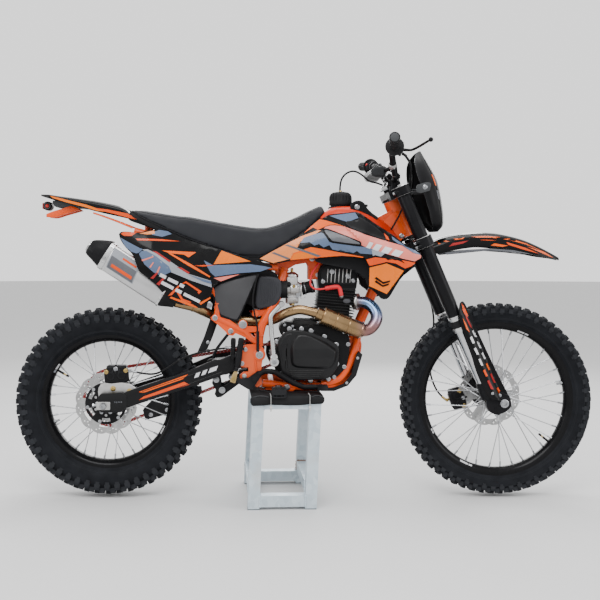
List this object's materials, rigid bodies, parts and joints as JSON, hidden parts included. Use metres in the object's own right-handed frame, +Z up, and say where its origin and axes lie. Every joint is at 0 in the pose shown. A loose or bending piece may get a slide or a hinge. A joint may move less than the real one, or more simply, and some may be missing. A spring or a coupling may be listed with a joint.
{
  "type": "dirt bike on a paddock stand",
  "caption": "Off-road motorcycle with knobbly tyres, long seat, raked fork and orange frame, held upright by a box-section paddock stand.",
  "frame": {"origin": "on the floor under the middle of the whole object, between the two tyres", "axes": "+X towards the front wheel, -Y the bike's right side, +Z up"},
  "size_m": [2.084, 0.8154, 1.258],
  "materials": {
    "frame_orange": "gloss",
    "black_paint": "satin",
    "black_plastic": "matte",
    "orange_plastic": "gloss",
    "cast_aluminium": "satin",
    "steel": "satin",
    "galvanised": "matte",
    "tyre": "matte",
    "rubber": "matte",
    "seat_vinyl": "matte",
    "exhaust_steel": "satin",
    "red_rubber": "satin",
    "chain_steel": "satin"
  },
  "bodies": {
    "chassis": {"paddock_stand": "galvanised", "stand_pad": "rubber", "frame_backbone": "frame_orange", "frame_down_tube": "frame_orange", "frame_cradle": "frame_orange", "frame_uprights": "frame_orange", "subframe": "frame_orange", "engine_crankcase": "black_paint", "clutch_cover": "black_paint", "cylinder": "black_paint", "cylinder_head": "black_paint", "carburettor": "cast_aluminium", "air_box": "black_plastic", "exhaust_header": "exhaust_steel", "muffler": "cast_aluminium", "kick_starter": "cast_aluminium", "brake_pedal": "black_paint", "gear_lever": "black_paint", "footpegs": "steel", "swingarm": "black_paint", "rear_axle": "steel", "shock_absorber": "red_rubber", "suspension_linkage": "black_paint", "chain": "chain_steel", "chain_guide": "black_plastic", "rear_brake": "black_paint", "seat": "seat_vinyl", "fuel_tank": "orange_plastic", "shroud_right": "orange_plastic", "shroud_left": "orange_plastic", "side_panel_right": "black_plastic", "side_panel_left": "black_plastic", "rear_fender": "black_plastic", "tail_light": "orange_plastic", "skid_plate": "black_plastic", "chassis_hoses": "rubber", "ignition_lead": "red_rubber", "control_cables": "rubber"},
    "steering": {"triple_clamps": "black_paint", "fork_leg_right": "black_paint", "fork_leg_left": "black_paint", "fork_guards": "black_plastic", "handlebar": "black_paint", "bar_pad": "seat_vinyl", "grips": "rubber", "hand_controls": "black_paint", "front_fender": "black_plastic", "number_plate": "black_plastic", "front_brake": "black_paint", "front_axle": "steel", "front_brake_hose": "rubber"},
    "front_wheel": {"front_tyre": "tyre", "front_rim": "black_paint", "front_disc": "steel"},
    "rear_wheel": {"rear_tyre": "tyre", "rear_rim": "black_paint", "rear_disc": "steel", "rear_sprocket": "steel"}
  },
  "joints": [
    {"name": "steering", "type": "hinge", "parent": "chassis", "child": "steering", "pos_m": [0.34857, 0, 1.004], "axis": [-0.3872, 0, 0.922], "range_deg": [-42, 42], "deforming": ["control_cables"]},
    {"name": "front_wheel_spin", "type": "hinge", "parent": "steering", "child": "front_wheel", "pos_m": [0.696, 0, 0.352], "axis": [0, 1, 0], "continuous": true},
    {"name": "rear_wheel_spin", "type": "hinge", "parent": "chassis", "child": "rear_wheel", "pos_m": [-0.704, 0, 0.344], "axis": [0, 1, 0], "continuous": true}
  ]
}
